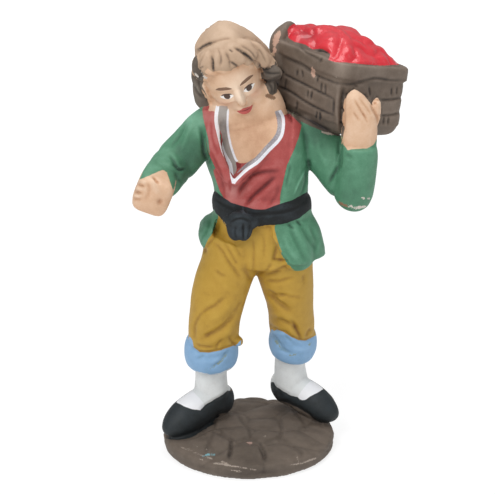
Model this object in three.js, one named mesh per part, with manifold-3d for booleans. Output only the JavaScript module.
// A painted terracotta nativity figure: a peasant that stands on a round cobbled base
// and carries a basket heaped with red fruit on its left shoulder.
// Millimetres, +Z up. The origin is the centre of the base's underside, and the figure
// faces -Y. Right and left are the figure's own, so its right hand is on the -X side.
// The whole figure is press-moulded and fired as one piece, so it is one mesh.

import * as THREE from "three";
import { mergeVertices } from "three/addons/utils/BufferGeometryUtils.js";
import Module from "manifold-3d";

const wasm = await Module();
wasm.setup();

// Faces that lie this close to flat are merged in the finished solid.
const FLATNESS = 0.29;

// Base
const BASE_RADIUS = 23.5;
const BASE_EDGE = 1.6;
const RIM_HEIGHT = 4.6;
const MOUND_HEIGHT = 6.8;
const STONE_RISE = 1.9;
// Each ring of cobbles is [ring radius, count, stone radius].
const STONE_RINGS = [
  [0.5, 1, 5.2],
  [9.4, 5, 5.8],
  [17.0, 9, 5.8],
];
// Stones banked up under the heels, as [x, y, z, reach].
const BANKED_STONES = [
  [8.8, 14.2, 5.6, 6.8],
  [-6.0, 7.2, 5.4, 5.4],
];

// Basket
const BASKET_CENTRE = [22.1, 8.0, 88.3];
const BASKET_HEIGHT = 19.3;
const BASKET_LEAN = 4;
const BASKET_DROP = 13;
const BASKET_NOD = 2;
const BASKET_YAW = 45;
const BASKET_DEPTH = 0.85;
const BASKET_FOOT = 26.0;
const BASKET_MOUTH = 26.4;
const BASKET_RIM = 4.2;
const BASKET_COURSES = 4;
const FOOT_ROUNDING = 2.6;
const HEAP_HEIGHT = 6.2;

// Each station is [x, y, z, half width, half depth], from the top of the limb down.
const TORSO = {
  collar: [0.4, 1.6, 94.5, 5.5, 5.0],
  yoke: [0.8, 1.6, 91.0, 10.5, 6.6],
  shoulders: [1.3, 1.2, 87.5, 13.2, 7.8],
  chest: [1.9, 0.4, 82.0, 13.4, 8.6],
  ribs: [2.4, 0.0, 75.5, 12.6, 8.6],
  waist: [2.8, 0.0, 69.0, 12.2, 8.4],
  belly: [2.6, 0.2, 62.5, 12.4, 8.8],
  hips: [2.0, 0.6, 56.5, 12.8, 9.0],
  seat: [1.8, 1.0, 52.6, 11.4, 8.0],
  fork: [1.8, 1.0, 48.8, 9.0, 6.6],
};
const JACKET = {
  collar: [0.4, 2.4, 94.0, 6.6, 5.4],
  yoke: [0.8, 2.0, 91.2, 11.3, 7.2],
  shoulders: [1.3, 1.6, 87.6, 14.0, 8.6],
  chest: [1.9, 0.7, 82.0, 14.2, 9.5],
  ribs: [2.4, 0.3, 75.5, 13.4, 9.5],
  waist: [2.8, 0.3, 69.0, 12.9, 9.2],
};
const SKIRT = {
  waist: [2.8, 0.4, 71.0, 12.4, 8.8],
  top: [2.8, 0.4, 66.5, 13.6, 9.7],
  flare: [2.7, 0.4, 61.5, 16.4, 11.4],
  hem: [2.4, 0.4, 57.0, 17.3, 12.2],
  lip: [1.8, 0.4, 51.4, 16.2, 11.6],
};
const SASH = {
  top: [2.9, 0.1, 72.2, 12.6, 9.2],
  upper: [2.9, 0.1, 71.0, 13.5, 10.2],
  middle: [2.9, 0.1, 69.0, 13.8, 10.5],
  lower: [2.8, 0.1, 67.0, 13.5, 10.3],
  bottom: [2.8, 0.1, 65.6, 12.6, 9.4],
};
const RIGHT_COLLAR = {
  shoulder: [-8.0, -1.0, 94.6, 1.6, 1.4],
  top: [-9.2, -4.6, 91.0, 1.8, 1.3],
  middle: [-8.8, -7.6, 86.0, 1.8, 1.2],
  lower: [-7.0, -9.2, 81.4, 1.6, 1.1],
  tip: [-4.4, -9.6, 76.8, 1.0, 0.9],
};
const LEFT_COLLAR = {
  shoulder: [7.2, 0.0, 94.0, 1.4, 1.4],
  top: [7.0, -4.2, 90.6, 1.3, 1.3],
  middle: [4.4, -7.6, 85.6, 1.3, 1.2],
  lower: [0.4, -9.2, 81.0, 1.2, 1.1],
  tip: [-4.2, -9.7, 76.8, 0.9, 0.9],
};
const NECK = {
  skull: [-2.5, -0.8, 101.0, 7.0, 5.8],
  nape: [-1.8, 0.0, 98.0, 8.6, 5.8],
  throat: [-1.2, 0.2, 95.5, 9.5, 5.6],
  root: [1.0, 0.8, 91.5, 8.9, 6.2],
  chest: [0.6, 0.2, 86.0, 6.5, 5.5],
};
const RIGHT_LEG = {
  hip: [-2.8, 0.2, 60.0, 8.8, 8.2],
  thigh: [-5.3, -0.2, 52.5, 8.0, 8.2],
  middle: [-7.6, -0.8, 45.5, 7.4, 7.7],
  knee: [-9.0, -1.2, 38.5, 6.9, 7.3],
  calf: [-9.5, -0.4, 33.0, 6.8, 6.9],
  hem: [-9.9, 0.8, 28.6, 6.2, 6.3],
};
const LEFT_LEG = {
  hip: [7.6, 0.6, 60.0, 8.6, 8.2],
  thigh: [9.2, 1.4, 52.5, 8.2, 8.1],
  middle: [10.3, 2.9, 45.5, 7.0, 7.5],
  knee: [11.2, 5.0, 38.5, 6.2, 7.0],
  calf: [11.6, 7.0, 33.0, 6.2, 6.7],
  hem: [11.9, 8.4, 28.6, 5.9, 6.1],
};
const RIGHT_CUFF = {
  top: [-10.0, 0.9, 31.2, 5.6, 5.6],
  upper: [-10.1, 1.2, 29.6, 7.0, 7.0],
  middle: [-10.2, 1.8, 26.6, 7.3, 7.3],
  lower: [-10.3, 2.3, 23.8, 6.8, 6.8],
  bottom: [-10.3, 2.6, 22.2, 5.0, 5.0],
};
const LEFT_CUFF = {
  top: [11.7, 7.9, 31.0, 5.0, 5.2],
  upper: [11.8, 8.3, 29.4, 6.2, 6.4],
  middle: [12.0, 9.0, 26.4, 6.6, 6.8],
  lower: [11.9, 9.6, 23.6, 6.0, 6.3],
  bottom: [11.7, 9.9, 22.0, 4.6, 4.8],
};
const RIGHT_SOCK = {
  top: [-10.3, 2.6, 24.5, 4.4, 4.6],
  shin: [-10.3, 3.2, 19.5, 4.3, 4.5],
  ankle: [-10.3, 3.4, 14.5, 4.6, 4.7],
  heel: [-10.4, 3.2, 10.0, 4.4, 4.4],
};
const LEFT_SOCK = {
  top: [11.6, 10.0, 24.3, 4.2, 4.5],
  shin: [11.3, 10.8, 19.5, 4.2, 4.4],
  ankle: [11.6, 11.0, 14.5, 4.6, 4.7],
  heel: [12.2, 10.6, 10.0, 4.4, 4.4],
};
const RIGHT_SHOE = {
  heel: [-5.2, 8.2, 10.2, 2.0, 2.8],
  ankle: [-7.4, 6.0, 10.8, 4.0, 4.4],
  instep: [-11.6, 2.2, 11.4, 4.4, 5.0],
  ball: [-16.4, -1.8, 9.6, 4.8, 4.9],
  toe: [-20.0, -4.7, 7.8, 4.2, 3.9],
  tip: [-22.9, -7.0, 6.6, 3.4, 3.0],
};
const LEFT_SHOE = {
  heel: [7.4, 15.4, 10.8, 2.0, 2.8],
  ankle: [9.4, 13.4, 11.6, 4.0, 4.5],
  instep: [13.6, 9.6, 11.4, 4.3, 4.8],
  ball: [18.0, 6.2, 9.8, 4.5, 4.6],
  toe: [21.4, 3.6, 8.2, 3.9, 3.7],
  tip: [24.2, 1.5, 7.4, 3.2, 2.9],
};
const RIGHT_UPPER_ARM = {
  shoulder: [-6.0, 1.4, 91.8, 4.6, 5.8],
  top: [-10.8, 0.9, 89.2, 5.9, 6.2],
  middle: [-15.2, -0.2, 84.9, 6.0, 6.0],
  elbow: [-19.2, -1.6, 80.4, 5.5, 5.6],
  end: [-21.0, -2.8, 78.2, 3.4, 3.6],
};
const RIGHT_FOREARM = {
  elbow: [-18.8, 0.4, 81.0, 3.8, 4.2],
  upper: [-20.0, -2.8, 80.0, 5.3, 5.4],
  middle: [-21.3, -6.6, 79.0, 5.3, 5.2],
  hem: [-22.6, -10.4, 78.2, 5.1, 5.2],
  wrist: [-23.0, -11.8, 78.0, 4.2, 4.3],
};
const RIGHT_FIST = {
  wrist: [-22.4, -8.0, 78.8, 3.8, 4.0],
  heel: [-23.4, -11.8, 78.0, 4.4, 4.8],
  middle: [-24.0, -15.6, 77.0, 4.7, 5.1],
  knuckles: [-24.3, -19.0, 76.3, 4.4, 4.8],
  front: [-24.4, -21.0, 75.9, 3.0, 3.4],
};
// The fist is square in section, and turned a little about the forearm.
const FIST_TURN = [0.93, 0, -0.36];
// Each lump is [angle from above, from t, to t, height], seen along the forearm.
const FIST_LUMPS = [
  [-70, 0.4, 0.95, 0.5],
  [10, 0.2, 0.7, 0.4],
];

const LEFT_UPPER_ARM = {
  shoulder: [10.5, 2.4, 89.0, 5.2, 5.8],
  top: [14.6, 1.8, 86.8, 6.4, 6.2],
  middle: [19.8, -0.8, 81.4, 6.6, 5.9],
  elbow: [24.4, -4.4, 75.2, 5.6, 5.5],
  end: [26.4, -6.2, 72.2, 3.2, 3.4],
};
const LEFT_FOREARM = {
  hem: [28.2, -8.9, 87.4, 4.3, 4.2],
  upper: [28.0, -8.7, 84.0, 4.9, 4.8],
  middle: [27.6, -8.1, 79.0, 5.0, 5.0],
  lower: [26.8, -7.0, 73.6, 5.0, 5.0],
  elbow: [25.8, -5.6, 69.6, 3.9, 4.0],
};
const LEFT_PALM = {
  tips: [26.4, -8.8, 101.8, 1.3, 1.1],
  fingers: [26.8, -9.0, 98.8, 3.0, 2.0],
  knuckles: [27.8, -8.8, 94.4, 4.3, 2.6],
  heel: [28.0, -8.6, 89.4, 4.6, 3.2],
  wrist: [28.0, -8.4, 85.0, 4.2, 3.2],
};
// The head's stations are in its own frame: centred between the eyes and ears, with its
// face to -Y, before it is bowed, tilted to its right and turned to its left.
const HEAD_CENTRE = [-4.6, -2.1, 104.5];
const HEAD_BOW = 18;
const HEAD_TILT = 21;
const HEAD_TURN = 4;
const FACE = {
  crown: [0, 1.0, 10.5, 4.5, 5.5],
  forehead: [0, 0.4, 7.0, 6.9, 8.0],
  brow: [0, 0.0, 2.8, 7.4, 8.7],
  eyes: [0, 0.0, 0.0, 7.3, 8.4],
  cheeks: [0, -0.3, -3.6, 6.9, 8.2],
  mouth: [0, -1.2, -6.9, 5.4, 7.4],
  chin: [0, -3.6, -9.6, 3.4, 5.0],
  tip: [0, -4.2, -10.8, 1.8, 3.2],
};
const HAIR = {
  crown: [0.3, 1.2, 13.3, 3.4, 3.4],
  dome: [0.8, 1.0, 11.8, 5.5, 6.4],
  top: [1.1, 0.6, 8.4, 7.2, 9.2],
  fringe: [0.9, 1.0, 4.6, 9.0, 10.2],
  temple: [0.8, 2.2, 0.4, 10.1, 9.6],
  ears: [0.9, 3.2, -3.6, 10.2, 8.6],
  nape: [0.4, 4.0, -7.4, 8.8, 7.0],
  ends: [0.2, 4.2, -10.2, 5.6, 4.4],
};

// The hair is open over the face through this front outline of [x, z] points.
const FACE_WINDOW = [
  [-6.6, -13],
  [-7.6, -4],
  [-7.6, 3.0],
  [-5.6, 6.4],
  [5.6, 6.4],
  [7.6, 3.0],
  [7.6, -4],
  [6.6, -13],
];
// Each lock is [angle from the front, height of its centre, half length].
const FRINGE_LOCKS = [
  [-84, 1.6, 5.0],
  [-58, 6.6, 3.8],
  [-33, 8.4, 3.2],
  [-10, 8.6, 3.3],
  [14, 8.8, 3.2],
  [38, 7.8, 3.6],
  [64, 4.0, 4.6],
  [88, -1.0, 5.0],
];
// The lock that hangs beside its right ear. Beside the left one are two curls, each an
// ellipsoid of [centre, radii].
const RIGHT_LOCK = {
  temple: [-12.4, -0.6, 107.0, 1.9, 2.4],
  ear: [-12.7, -0.8, 103.5, 1.8, 2.6],
  middle: [-12.7, -0.8, 100.0, 1.8, 2.4],
  jaw: [-12.2, -1.0, 97.0, 1.8, 1.9],
  tip: [-11.9, -1.2, 95.0, 1.0, 1.1],
};
const LEFT_CURLS = [
  [[5.6, -2.4, 104.4], [3.0, 2.6, 2.1]],
  [[5.2, -1.6, 100.4], [2.1, 2.2, 2.4]],
];
// The basket's rim is drawn up at its corner beside the hair.
const RIM_CORNER = {
  end: [12.4, 11.0, 113.2, 1.2, 2.0],
  top: [9.6, 9.2, 113.0, 1.8, 2.4],
  bend: [7.8, 8.2, 111.0, 2.2, 3.0],
  side: [7.3, 7.6, 107.5, 2.2, 3.2],
  foot: [7.6, 7.2, 103.0, 2.4, 3.0],
};

const UP = new THREE.Vector3(0, 0, 1);
const STONE_FACETS = { around: 6, along: 4 };

function radians(degrees) {
  return THREE.MathUtils.degToRad(degrees);
}

function direction(degrees) {
  return [Math.cos(radians(degrees)), Math.sin(radians(degrees)), 0];
}

// A three.js geometry as a manifold-3d solid.
function solid(geometry) {
  const bare = geometry.clone();
  bare.deleteAttribute("normal");
  bare.deleteAttribute("uv");
  const merged = mergeVertices(bare, 1e-4);
  const corners = merged.index.array;
  const faces = [];
  for (let i = 0; i < corners.length; i += 3) {
    const [a, b, c] = corners.slice(i, i + 3);
    if (a !== b && b !== c && c !== a) faces.push(a, b, c);
  }
  return new wasm.Manifold(
    new wasm.Mesh({
      numProp: 3,
      vertProperties: merged.attributes.position.array,
      triVerts: new Uint32Array(faces),
    }),
  );
}

function join(solids) {
  return solids.reduce((whole, next) => whole.add(next));
}

function smoothCurve(points) {
  const vectors = points.map((point) => new THREE.Vector3(...point));
  return new THREE.CatmullRomCurve3(vectors, false, "catmullrom", 0.5);
}

// How far a rounded end has opened at distance t from it, where `length` is rounded off.
function opening(t, length) {
  return t >= length ? 1 : Math.sqrt(1 - (1 - t / length) ** 2);
}

// A limb or garment lofted through its stations. Its sections are ellipses, squarer as
// `boxy` grows over 2. `across` is the way its half width lies, and the half depth lies
// square to that. The form is rounded off over the shares of its length in `ends`, and
// `crowded` draws its rows towards them. The relief takes the angle from the front in
// degrees, positive towards +X, and the place t from 0 at the first station to 1 at the
// last.
function loft(stations, options) {
  const { around, along, across = [1, 0, 0] } = options;
  const { boxy = 2, ends = [0, 0], relief = () => 0, crowded, place } = options;
  const rows = Object.values(stations);
  const spine = smoothCurve(rows.map(([x, y, z]) => [x, y, z]));
  const girth = smoothCurve(rows.map(([, , , width, depth]) => [width, depth, 0]));
  const wide = new THREE.Vector3(...across);
  const geometry = new THREE.SphereGeometry(1, around, along);
  const { position, uv } = geometry.attributes;
  for (let i = 0; i < position.count; i++) {
    const step = 1 - uv.getY(i);
    const t = crowded ? (1 - Math.cos(Math.PI * step)) / 2 : step;
    const centre = spine.getPoint(t);
    if (t > 0 && t < 1) {
      const angle = 2 * Math.PI * uv.getX(i) - Math.PI / 2;
      const tangent = spine.getTangent(t);
      const side = wide.clone().addScaledVector(tangent, -wide.dot(tangent)).normalize();
      const front = new THREE.Vector3().crossVectors(tangent, side);
      const size = girth.getPoint(t);
      const [sine, cosine] = [Math.sin(angle), Math.cos(angle)];
      const square = (Math.abs(sine) ** boxy + Math.abs(cosine) ** boxy) ** (-1 / boxy);
      const round = square * opening(t, ends[0]) * opening(1 - t, ends[1]);
      const degrees = THREE.MathUtils.euclideanModulo(
        THREE.MathUtils.radToDeg(angle) + 180,
        360,
      ) - 180;
      const raised = relief(degrees, t);
      centre.addScaledVector(side, sine * (size.x * round + raised));
      centre.addScaledVector(front, cosine * (size.y * round + raised));
    }
    position.setXYZ(i, centre.x, centre.y, centre.z);
  }
  if (place) geometry.applyMatrix4(place);
  return solid(geometry);
}

// An ellipsoid, turned so that its long axis lies along `aim`.
function pebble(centre, radii, options = {}) {
  const { aim = UP, around = 10, along = 8, place } = options;
  const geometry = new THREE.SphereGeometry(1, around, along);
  geometry.rotateX(Math.PI / 2).scale(...radii);
  const turn = new THREE.Quaternion().setFromUnitVectors(
    UP,
    new THREE.Vector3(...Object.values(aim)).normalize(),
  );
  geometry.applyQuaternion(turn).translate(...centre);
  if (place) geometry.applyMatrix4(place);
  return solid(geometry);
}

// Height of a set of cloth folds. A fold is [from angle, from t, to angle, to t, height],
// and it is `width` wide in millimetres on a limb of the given radius and length.
function folds(list, { radius, length, width }) {
  const perDegree = (radius * Math.PI) / 180;
  return (angle, t) => {
    let height = 0;
    for (const [fromAngle, fromT, toAngle, toT, rise] of list) {
      const turned = THREE.MathUtils.euclideanModulo(angle - fromAngle + 180, 360) - 180;
      const sweep = [(toAngle - fromAngle) * perDegree, (toT - fromT) * length];
      const place = [turned * perDegree, (t - fromT) * length];
      const reach = sweep[0] ** 2 + sweep[1] ** 2;
      const along = (place[0] * sweep[0] + place[1] * sweep[1]) / reach;
      const near = THREE.MathUtils.clamp(along, 0, 1);
      const gap = Math.hypot(place[0] - near * sweep[0], place[1] - near * sweep[1]);
      height += rise * Math.exp(-((gap / width) ** 2));
    }
    return height;
  };
}

// Height of the earth between the cobbles, falling from the middle to the rim.
function earthHeight(radius) {
  const fall = (radius / (BASE_RADIUS - BASE_EDGE)) ** 2.4;
  return THREE.MathUtils.lerp(MOUND_HEIGHT, RIM_HEIGHT, fall);
}

// The base's cobbles, in rings, each a little out of line.
function cobbles() {
  const stones = [];
  STONE_RINGS.forEach(([radius, count, reach], ring) => {
    for (let i = 0; i < count; i++) {
      const turn = (2 * Math.PI * (i + 0.37 * ring)) / count;
      const out = radius * (1 + 0.06 * Math.sin(5 * i + 3 * ring));
      const size = reach * (1 + 0.1 * Math.sin(7 * i + ring));
      const height = earthHeight(radius) - 0.9;
      const centre = [out * Math.cos(turn), out * Math.sin(turn), height];
      stones.push(pebble(centre, [size, size * 0.92, STONE_RISE], STONE_FACETS));
    }
  });
  for (const [x, y, z, reach] of BANKED_STONES) {
    stones.push(pebble([x, y, z], [reach, reach * 0.85, 3.2], STONE_FACETS));
  }
  return join(stones);
}

// A round mound of earth and cobbles with a rounded edge and a flat underside.
function base() {
  const profile = [new THREE.Vector2(0, earthHeight(0))];
  for (const radius of [12, 18, BASE_RADIUS - BASE_EDGE]) {
    profile.push(new THREE.Vector2(radius, earthHeight(radius)));
  }
  profile.push(new THREE.Vector2(BASE_RADIUS, RIM_HEIGHT - BASE_EDGE));
  profile.push(new THREE.Vector2(BASE_RADIUS - 0.4, 1.2));
  profile.push(new THREE.Vector2(BASE_RADIUS - BASE_EDGE, 0));
  profile.push(new THREE.Vector2(0, 0));
  const geometry = new THREE.LatheGeometry(profile.reverse(), 28);
  geometry.rotateX(Math.PI / 2);
  return solid(geometry).add(cobbles());
}

// The basket's own frame: its width drops to the figure's left, its sides lean a little,
// and it is shallower from front to back than it is wide.
function basketMatrix() {
  const [drop, lean, nod] = [BASKET_DROP, BASKET_LEAN, BASKET_NOD].map(radians);
  const width = new THREE.Vector3(Math.cos(drop), 0, -Math.sin(drop));
  const depth = new THREE.Vector3(0, Math.cos(nod), -Math.sin(nod));
  const rise = new THREE.Vector3(Math.sin(lean), 0, Math.cos(lean));
  const matrix = new THREE.Matrix4();
  matrix.makeBasis(width, depth.multiplyScalar(BASKET_DEPTH), rise);
  return matrix.setPosition(...BASKET_CENTRE);
}

// One course of the basket: a square slab with round corners and softened edges.
function course(foot, head, low, high, soft = 0.5) {
  const stations = [
    [0, 0, high, head - 0.5, head - 0.5],
    [0, 0, high - 0.35, head, head],
    [0, 0, low + 0.7 * soft, foot, foot],
    [0, 0, low, foot - soft, foot - soft],
  ];
  return loft(stations, {
    around: 24,
    along: 3,
    across: direction(BASKET_YAW),
    boxy: 7,
  });
}

// Upright joints between the blocks of one course, on all four sides. A staggered course
// has one joint near the middle of a side, and the others have two.
function courseJoints(half, low, high, staggered) {
  const grooves = [];
  for (let side = 0; side < 4; side++) {
    for (const place of staggered ? [0.04] : [-0.36, 0.3]) {
      const groove = new THREE.BoxGeometry(0.7, 1.6, high - low - 0.8);
      groove.translate(place * 2 * half * 0.8, -half - 0.35, (low + high) / 2);
      groove.rotateZ(radians(BASKET_YAW + 90 * side));
      grooves.push(solid(groove));
    }
  }
  return grooves;
}

// Heaped fruit: a low dome over the basket's square mouth, lumpy with round fruits.
function heap() {
  const half = BASKET_MOUTH / 2 - 1.6;
  const fruits = [];
  for (let i = 0; i < 19; i++) {
    const reach = half * 1.02 * Math.sqrt((i + 0.5) / 19);
    const turn = i * 2.39996;
    fruits.push([reach * Math.cos(turn), reach * Math.sin(turn)]);
  }
  const geometry = new THREE.SphereGeometry(1, 20, 11);
  geometry.rotateX(Math.PI / 2);
  const position = geometry.attributes.position;
  const square = 5;
  for (let i = 0; i < position.count; i++) {
    const [x, y, z] = [position.getX(i), position.getY(i), position.getZ(i)];
    const flat = Math.hypot(x, y) || 1;
    const [c, s] = [Math.abs(x / flat), Math.abs(y / flat)];
    const spread = half * (c ** square + s ** square) ** (-1 / square);
    const [px, py] = [x * spread, y * spread];
    const nearest = Math.min(...fruits.map((f) => Math.hypot(px - f[0], py - f[1])));
    const lump = 1.1 * Math.sqrt(Math.max(0, 1 - (nearest / 3.2) ** 2));
    const height = z > 0 ? z * (HEAP_HEIGHT - 1) + lump * Math.sqrt(z) : 3 * z;
    position.setXYZ(i, px, py, height);
  }
  geometry.rotateZ(radians(BASKET_YAW)).translate(0, 0, BASKET_HEIGHT);
  geometry.applyMatrix4(basketMatrix());
  return solid(geometry);
}

function basket() {
  const matrix = basketMatrix();
  const rows = BASKET_COURSES;
  const wall = BASKET_HEIGHT - BASKET_RIM;
  const halfAt = (z) => THREE.MathUtils.lerp(BASKET_FOOT, BASKET_MOUTH, z / BASKET_HEIGHT) / 2;
  let body = course(halfAt(wall) + 0.7, halfAt(BASKET_HEIGHT) + 0.7, wall, BASKET_HEIGHT);
  for (let row = 0; row < rows; row++) {
    const [low, high] = [(wall * row) / rows, (wall * (row + 1)) / rows];
    const soft = row === 0 ? FOOT_ROUNDING : undefined;
    body = body.add(course(halfAt(low), halfAt(high), low - 0.15, high + 0.15, soft));
    for (const groove of courseJoints(halfAt(low), low, high, row % 2 === 1)) {
      body = body.subtract(groove);
    }
  }
  const mesh = body.getMesh();
  const geometry = new THREE.BufferGeometry();
  geometry.setAttribute("position", new THREE.BufferAttribute(mesh.vertProperties, 3));
  geometry.setIndex(new THREE.BufferAttribute(mesh.triVerts, 1));
  geometry.applyMatrix4(matrix);
  return solid(geometry).add(heap());
}

const CHEST_TURN = direction(-20);

const RIGHT_LEG_FOLDS = [
  [-60, 0.3, 30, 0.52, 0.7],
  [20, 0.1, 60, 0.42, 0.6],
  [-50, 0.72, 40, 0.6, -0.7],
  [-40, 0.92, 70, 0.76, -0.8],
  [-70, 0.84, 20, 0.7, 0.7],
  [110, 0.3, 200, 0.6, 0.6],
  [120, 0.7, 220, 0.85, 0.6],
];
const LEFT_LEG_FOLDS = [
  [-60, 0.2, 40, 0.3, 0.6],
  [-70, 0.42, 40, 0.52, 0.6],
  [-60, 0.56, 50, 0.72, -0.7],
  [-50, 0.7, 40, 0.9, 0.6],
  [0, 0.82, 10, 1.0, -0.7],
  [110, 0.35, 200, 0.55, 0.6],
  [120, 0.75, 220, 0.8, 0.6],
];

function trousers() {
  const cloth = { around: 19, along: 13 };
  const legCloth = { radius: 7, length: 34, width: 1.7 };
  return join([
    loft(RIGHT_LEG, { ...cloth, relief: folds(RIGHT_LEG_FOLDS, legCloth) }),
    loft(LEFT_LEG, { ...cloth, relief: folds(LEFT_LEG_FOLDS, legCloth) }),
  ]);
}

function feet() {
  const roll = { around: 16, along: 5, ends: [0.1, 0.1] };
  const stocking = { around: 12, along: 3 };
  const shoe = { around: 13, along: 8, ends: [0.15, 0.3], crowded: true };
  return join([
    loft(RIGHT_CUFF, roll),
    loft(LEFT_CUFF, roll),
    loft(RIGHT_SOCK, stocking),
    loft(LEFT_SOCK, stocking),
    loft(RIGHT_SHOE, { ...shoe, across: [0.62, -0.78, 0] }),
    loft(LEFT_SHOE, { ...shoe, across: [0.62, 0.78, 0] }),
  ]);
}

// A prism along Y through a front-view outline of [x, z] points, from y = near to far.
function frontCut(outline, near, far, place) {
  const shape = new THREE.Shape(outline.map(([x, z]) => new THREE.Vector2(x, z)));
  const geometry = new THREE.ExtrudeGeometry(shape, {
    depth: far - near,
    bevelEnabled: false,
  });
  geometry.rotateX(Math.PI / 2).translate(0, far, 0);
  if (place) geometry.applyMatrix4(place);
  return solid(geometry);
}

function torso() {
  const vestFolds = folds(
    [
      [20, 0.62, 45, 0.42, -0.5],
      [5, 0.56, 35, 0.36, 0.5],
      [-45, 0.3, -15, 0.55, 0.4],
      [-12, 0.3, -5, 0.6, 0.4],
    ],
    { radius: 10, length: 49, width: 1.8 },
  );
  const vest = loft(TORSO, {
    around: 22,
    along: 12,
    ends: [0, 0.14],
    across: CHEST_TURN,
    relief: vestFolds,
  });
  const opening = frontCut(
    [
      [-10.6, 98],
      [-10.2, 90],
      [-9.4, 82],
      [-8.2, 74],
      [-6.6, 66],
      [7.2, 66],
      [8.6, 74],
      [10.4, 82],
      [11.2, 90],
      [10.6, 98],
    ],
    -20,
    1,
  );
  const jacket = loft(JACKET, { around: 22, along: 7, across: CHEST_TURN });
  return vest.add(jacket.subtract(opening));
}

// The raised collar trim down both sides of the open neck.
function collar() {
  const strip = { around: 6, along: 7, ends: [0.1, 0.1] };
  return loft(RIGHT_COLLAR, strip).add(loft(LEFT_COLLAR, strip));
}

function skirt() {
  const ripple = (angle, t) => 0.7 * t * Math.cos(radians(angle * 7));
  const flare = loft(SKIRT, {
    around: 28,
    along: 7,
    ends: [0, 0.3],
    across: CHEST_TURN,
    relief: ripple,
  });
  const opening = frontCut(
    [
      [-6.8, 72],
      [-9.6, 62],
      [-12.4, 56],
      [-16.0, 54],
      [-15.0, 48],
      [15.2, 48],
      [12.0, 54.6],
      [8.2, 59.2],
      [6.0, 63],
      [5.8, 72],
    ],
    -20,
    1,
  );
  return flare.subtract(opening);
}

function sash() {
  const band = loft(SASH, { around: 24, along: 5, across: CHEST_TURN });
  const knot = pebble([-2.2, -10.6, 67.8], [3.3, 2.6, 2.5], { around: 8, along: 5 });
  const tails = [
    pebble([-3.7, -10.4, 65.2], [2.1, 1.8, 3.2], { aim: [-0.12, 0, 1], around: 7, along: 5 }),
    pebble([-1.1, -10.3, 65.1], [2.1, 1.9, 3.2], { aim: [0.15, 0, 1], around: 7, along: 5 }),
  ];
  return join([band, knot, ...tails]);
}

function arms() {
  const sleeve = { around: 14, along: 7, ends: [0.2, 0.16] };
  const armFolds = folds(
    [
      [-120, 0.75, 60, 0.6, 0.6],
      [0, 0.9, 140, 0.8, -0.5],
    ],
    { radius: 6, length: 18, width: 1.5 },
  );
  return join([
    loft(RIGHT_UPPER_ARM, { ...sleeve, relief: armFolds }),
    loft(RIGHT_FOREARM, { ...sleeve, across: [1, 0, 0], ends: [0.2, 0.04] }),
    loft(LEFT_UPPER_ARM, sleeve),
    loft(LEFT_FOREARM, { ...sleeve, ends: [0.04, 0.2] }),
  ]);
}

function hands() {
  const lumps = FIST_LUMPS.map(([angle, from, to, rise]) => [angle, from, angle, to, rise]);
  const fist = loft(RIGHT_FIST, {
    around: 16,
    along: 8,
    ends: [0.1, 0.2],
    across: FIST_TURN,
    boxy: 4.5,
    relief: folds(lumps, { radius: 5, length: 14, width: 2.2 }),
  });
  const palm = loft(LEFT_PALM, { around: 12, along: 9, ends: [0.2, 0.1] });
  const littleFinger = pebble([32.0, -6.8, 94.8], [1.5, 1.5, 4.4], {
    aim: [0.12, 0, 1],
    around: 8,
    along: 6,
  });
  return join([fist, palm, littleFinger]);
}

// The head's own frame in the figure's.
function headMatrix() {
  const bow = new THREE.Matrix4().makeRotationX(radians(HEAD_BOW));
  const tilt = new THREE.Matrix4().makeRotationY(radians(-HEAD_TILT));
  const turn = new THREE.Matrix4().makeRotationZ(radians(HEAD_TURN));
  return turn.multiply(tilt).multiply(bow).setPosition(...HEAD_CENTRE);
}

// Locks of hair combed down over the forehead and round to both ears.
function fringeLocks(place) {
  const locks = [];
  for (const [angle, drop, length] of FRINGE_LOCKS) {
    const [sine, cosine] = [Math.sin(radians(angle)), -Math.cos(radians(angle))];
    const centre = [0.6 + 7.8 * sine, 0.6 + 8.0 * cosine, drop];
    const aim = [-0.35 * sine - 0.2, -0.35 * cosine, 1];
    locks.push(pebble(centre, [2.9, 2.2, length], { aim, around: 6, along: 5, place }));
  }
  return locks;
}

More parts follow.
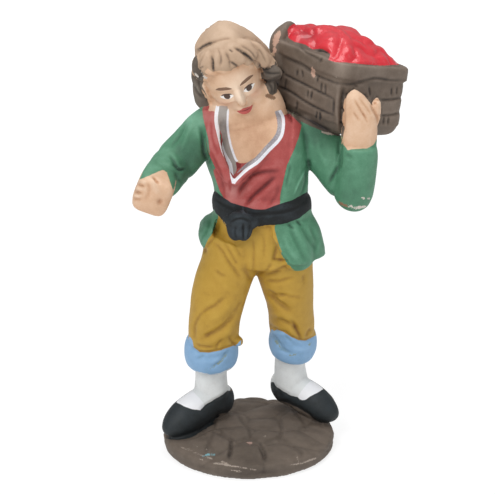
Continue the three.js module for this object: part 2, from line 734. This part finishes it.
function head() {
  const place = headMatrix();
  const face = loft(FACE, { around: 14, along: 10, ends: [0.2, 0.14], place });
  const strands = (angle, t) =>
    Math.sqrt(t) * 0.45 * Math.cos(radians(angle * 7 + 50 * Math.sin(6 * t)));
  const hair = loft(HAIR, {
    around: 24,
    along: 8,
    ends: [0.22, 0.16],
    relief: strands,
    place,
  });
  const faceWindow = frontCut(FACE_WINDOW, -16, -1.5, place);
  const nose = pebble([0, -8.2, -2.0], [1.4, 2.2, 2.6], {
    aim: [0, -0.2, 1],
    around: 6,
    along: 5,
    place,
  });
  const ear = { around: 7, along: 5, place };
  const ears = [
    pebble([-7.6, -0.6, -1.6], [1.0, 1.8, 2.6], ear),
    pebble([7.0, -1.2, -6.4], [1.0, 1.6, 2.2], ear),
  ];
  const lock = loft(RIGHT_LOCK, { around: 8, along: 6, ends: [0.2, 0.25] });
  const curls = LEFT_CURLS.map(([centre, radii]) =>
    pebble(centre, radii, { around: 9, along: 6 }),
  );
  const rimCorner = loft(RIM_CORNER, { around: 9, along: 7, ends: [0.2, 0.1] });
  const neck = loft(NECK, { around: 14, along: 5 });
  const locks = [...fringeLocks(place), lock, ...curls];
  return join([hair.subtract(faceWindow), ...locks, face, nose, ...ears, neck, rimCorner]);
}

// The biggest closed body of a solid, without the specks that merging flat faces leaves.
function mainBody(whole) {
  const bodies = whole.decompose();
  return bodies.reduce((most, body) => (body.volume() > most.volume() ? body : most));
}

// The joined solid as a named mesh with the figure's main paint colour.
function figureMesh() {
  const whole = join([
    base(),
    feet(),
    trousers(),
    torso(),
    collar(),
    skirt(),
    sash(),
    arms(),
    hands(),
    head(),
    basket(),
  ]);
  const { vertProperties, triVerts } = mainBody(whole.simplify(FLATNESS)).getMesh();
  const geometry = new THREE.BufferGeometry();
  geometry.setAttribute("position", new THREE.BufferAttribute(vertProperties, 3));
  geometry.setIndex(new THREE.BufferAttribute(triVerts, 1));
  geometry.computeVertexNormals();
  const paint = new THREE.MeshStandardMaterial({
    color: 0xb98a6a,
    roughness: 0.7,
    metalness: 0,
  });
  const mesh = new THREE.Mesh(geometry, paint);
  mesh.name = "figure";
  return mesh;
}

const figure = new THREE.Group();
figure.add(figureMesh());

export default figure;
